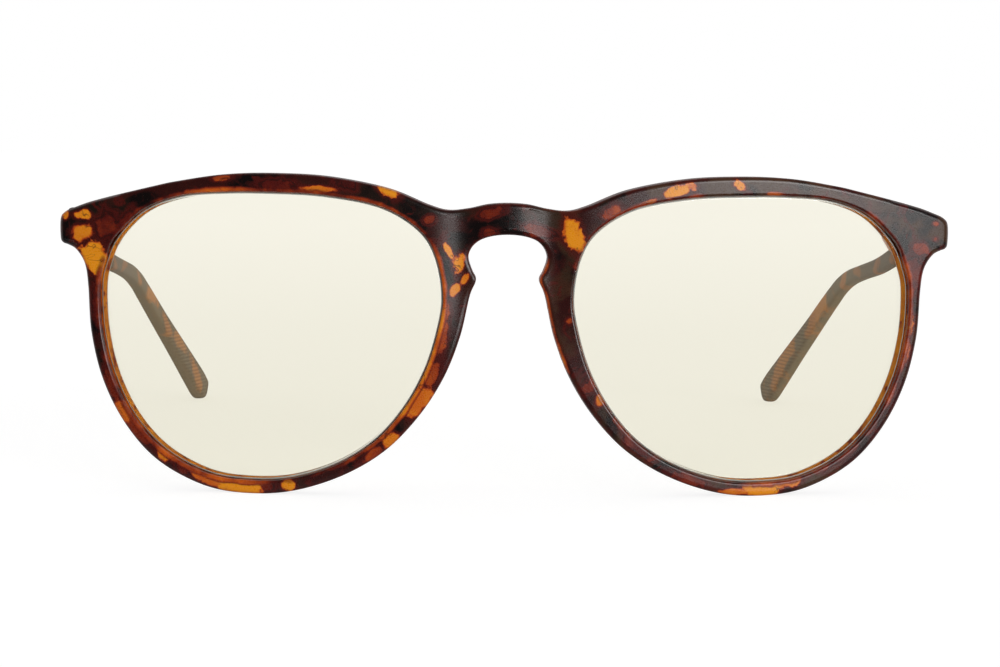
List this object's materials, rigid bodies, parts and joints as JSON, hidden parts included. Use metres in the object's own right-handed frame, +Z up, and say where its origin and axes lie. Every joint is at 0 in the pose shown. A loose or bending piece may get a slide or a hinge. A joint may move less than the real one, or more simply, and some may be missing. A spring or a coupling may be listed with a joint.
{
  "type": "blue light glasses",
  "caption": "Blue light glasses with round panto lenses, a keyhole bridge with moulded nose pads, a wrapped tortoiseshell plastic front and slim temples that fold on barrel hinges.",
  "frame": {"origin": "middle of the part, left to right and front to back, at the level of the floor that the rims and the temple tips rest on", "axes": "+X to the wearer's left, +Y from the front back to the temple tips, +Z up; temples open"},
  "size_m": [0.141, 0.1548, 0.0498],
  "materials": {
    "tortoiseshell": "satin tortoiseshell, near-black brown and dark red with amber patches",
    "lens": "clear polycarbonate with a faint yellow tint",
    "hinge_metal": "satin nickel",
    "screw_metal": "bright nickel"
  },
  "bodies": {
    "front": {"front": "tortoiseshell", "lens_left": "lens", "lens_right": "lens", "front_hinge_left": "hinge_metal", "front_hinge_right": "hinge_metal", "front_leaf_screws_left": "screw_metal", "front_leaf_screws_right": "screw_metal", "hinge_screw_left": "screw_metal", "hinge_screw_right": "screw_metal"},
    "temple_left": {"temple_left": "tortoiseshell", "temple_hinge_left": "hinge_metal", "temple_leaf_screws_left": "screw_metal"},
    "temple_right": {"temple_right": "tortoiseshell", "temple_hinge_right": "hinge_metal", "temple_leaf_screws_right": "screw_metal"}
  },
  "joints": [
    {"name": "fold_left", "type": "hinge", "parent": "front", "child": "temple_left", "pos_m": [0.0655, -0.0584, 0.0414], "axis": [0, 0, 1], "range_deg": [0, 90]},
    {"name": "fold_right", "type": "hinge", "parent": "front", "child": "temple_right", "pos_m": [-0.0655, -0.0584, 0.0414], "axis": [0, 0, -1], "range_deg": [0, 85]}
  ]
}
